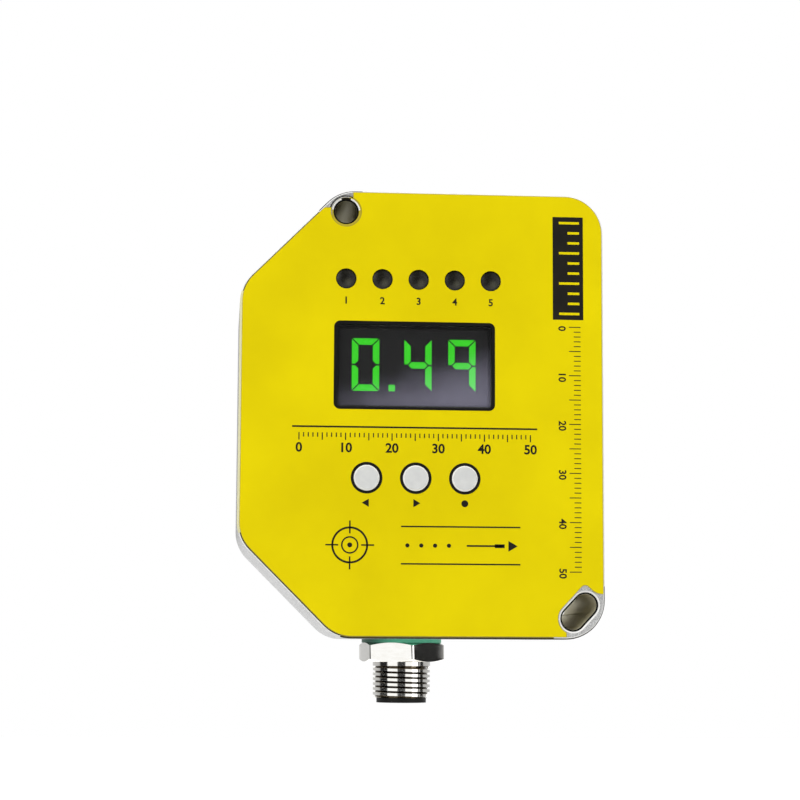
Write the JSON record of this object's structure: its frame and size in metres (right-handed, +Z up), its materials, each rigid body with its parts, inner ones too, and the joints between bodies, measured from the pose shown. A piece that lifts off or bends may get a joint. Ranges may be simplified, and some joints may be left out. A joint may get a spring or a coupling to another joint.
{
  "type": "laser photoelectric sensor",
  "caption": "Box-shaped laser distance sensor in a die-cast housing with cut corners, a number display, indicator lamps, push buttons, a mounting hole and slot, and a round plug underneath.",
  "frame": {"origin": "axis of the round mounting hole, at the rear face that lies on the mounting surface", "axes": "+X to the right seen from the front, +Y to the back, +Z up, away from the connector"},
  "size_m": [0.0745, 0.0395, 0.1041],
  "materials": {
    "cast_metal": "fine die-cast, silver, satin",
    "yellow_film": "printed film, smooth, half gloss",
    "cover_metal": "rolled plate, satin",
    "seal_rubber": "moulded, black",
    "seal_green": "moulded, green",
    "screw_steel": "plated, turned",
    "black_plastic": "moulded, black",
    "smoked_glass": "smoked, clear",
    "display_body": "moulded, black",
    "lit_green": "lit from behind",
    "dark_bar": "unlit",
    "lamp_lens": "smoked, domed",
    "lamp_chip": "moulded, ivory",
    "button_grey": "moulded, light grey",
    "plunger_plastic": "moulded, brown",
    "switch_plastic": "moulded, black",
    "board_green": "coated glass fibre board",
    "chip_black": "moulded, black",
    "turned_brass": "turned",
    "window_red": "dark red, clear",
    "optics_black": "moulded, black, matt",
    "lens_glass": "polished",
    "can_metal": "drawn, plated",
    "nickel": "nickel-plated, turned, bright",
    "contact_gold": "gold-plated",
    "wire_jacket": "extruded"
  },
  "bodies": {
    "sensor": {"housing": "cast_metal", "front_label": "yellow_film", "rear_cover": "cover_metal", "rear_gasket": "seal_rubber", "cover_screws": "screw_steel", "display_frame": "black_plastic", "display_window": "smoked_glass", "display_module": "display_body", "lit_segments": "lit_green", "dark_segments": "dark_bar", "indicator_lens_1": "lamp_lens", "indicator_lens_2": "lamp_lens", "indicator_lens_3": "lamp_lens", "indicator_lens_4": "lamp_lens", "indicator_lens_5": "lamp_lens", "indicator_leds": "lamp_chip", "button_ring_left": "black_plastic", "button_ring_middle": "black_plastic", "button_ring_right": "black_plastic", "switch_left": "switch_plastic", "switch_middle": "switch_plastic", "switch_right": "switch_plastic", "display_board": "board_green", "board_spacers": "turned_brass", "main_board": "board_green", "board_screws": "screw_steel", "board_header": "switch_plastic", "main_board_parts": "chip_black", "optics_window": "window_red", "optics_seal": "seal_rubber", "optics_block": "optics_black", "receiver_lens": "lens_glass", "laser_barrel": "turned_brass", "collimator_lens": "lens_glass", "laser_diode": "can_metal", "receiver_board": "board_green", "photodiode": "can_metal", "connector_shell": "nickel", "connector_gasket": "seal_green", "connector_insert": "black_plastic", "contact_pins": "contact_gold", "connector_locknut": "nickel", "lead_wires": "wire_jacket"},
    "button_left": {"button_left": "button_grey", "plunger_left": "plunger_plastic"},
    "button_middle": {"button_middle": "button_grey", "plunger_middle": "plunger_plastic"},
    "button_right": {"button_right": "button_grey", "plunger_right": "plunger_plastic"}
  },
  "joints": [
    {"name": "button_left_press", "type": "slide", "parent": "sensor", "child": "button_left", "axis": [0, 1, 0], "range_m": [0, 0.0004], "stiffness_N_per_m": 400, "springref_m": -0.001},
    {"name": "button_middle_press", "type": "slide", "parent": "sensor", "child": "button_middle", "axis": [0, 1, 0], "range_m": [0, 0.0004], "stiffness_N_per_m": 400, "springref_m": -0.001},
    {"name": "button_right_press", "type": "slide", "parent": "sensor", "child": "button_right", "axis": [0, 1, 0], "range_m": [0, 0.0004], "stiffness_N_per_m": 400, "springref_m": -0.001}
  ]
}
